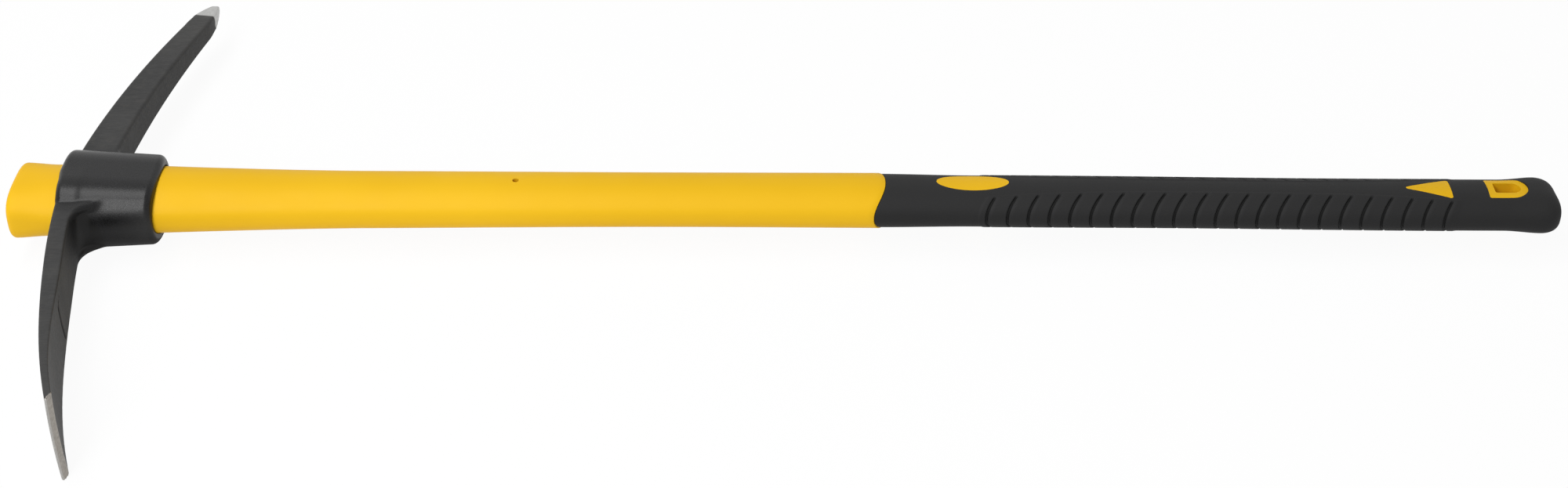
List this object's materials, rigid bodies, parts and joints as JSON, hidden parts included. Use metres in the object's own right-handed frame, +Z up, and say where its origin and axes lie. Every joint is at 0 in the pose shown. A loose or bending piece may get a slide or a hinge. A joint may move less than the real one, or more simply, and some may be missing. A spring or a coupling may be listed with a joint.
{
  "type": "pickaxe",
  "caption": "Pickaxe with a forged head, one pointed arm and one cross blade, on a drop-through fibreglass handle with a soft ribbed grip and a hanging hole.",
  "frame": {"origin": "under the middle of the object's bounding box, at the height of its lowest point, which is the lower end of the blade's edge", "axes": "+X along the handle from its top end to its butt, +Y towards the pick's point, -Y towards the blade, +Z up, square to the plane of the head and the handle"},
  "size_m": [0.9, 0.4498, 0.055],
  "materials": {
    "forged_steel": "satin black-grey coat over forged steel, ground bare at the edge and the point",
    "jacket_yellow": "smooth semi-gloss yellow",
    "grip_rubber": "matte charcoal",
    "fibreglass": "sawn glass-fibre rod, dull cream"
  },
  "bodies": {
    "handle": {"handle_jacket": "jacket_yellow", "grip": "grip_rubber", "core_rod": "fibreglass"},
    "head": {"head": "forged_steel"}
  },
  "joints": [
    {"name": "head_slide", "type": "slide", "parent": "handle", "child": "head", "axis": [1, 0, 0], "range_m": [0, 0.876]}
  ]
}
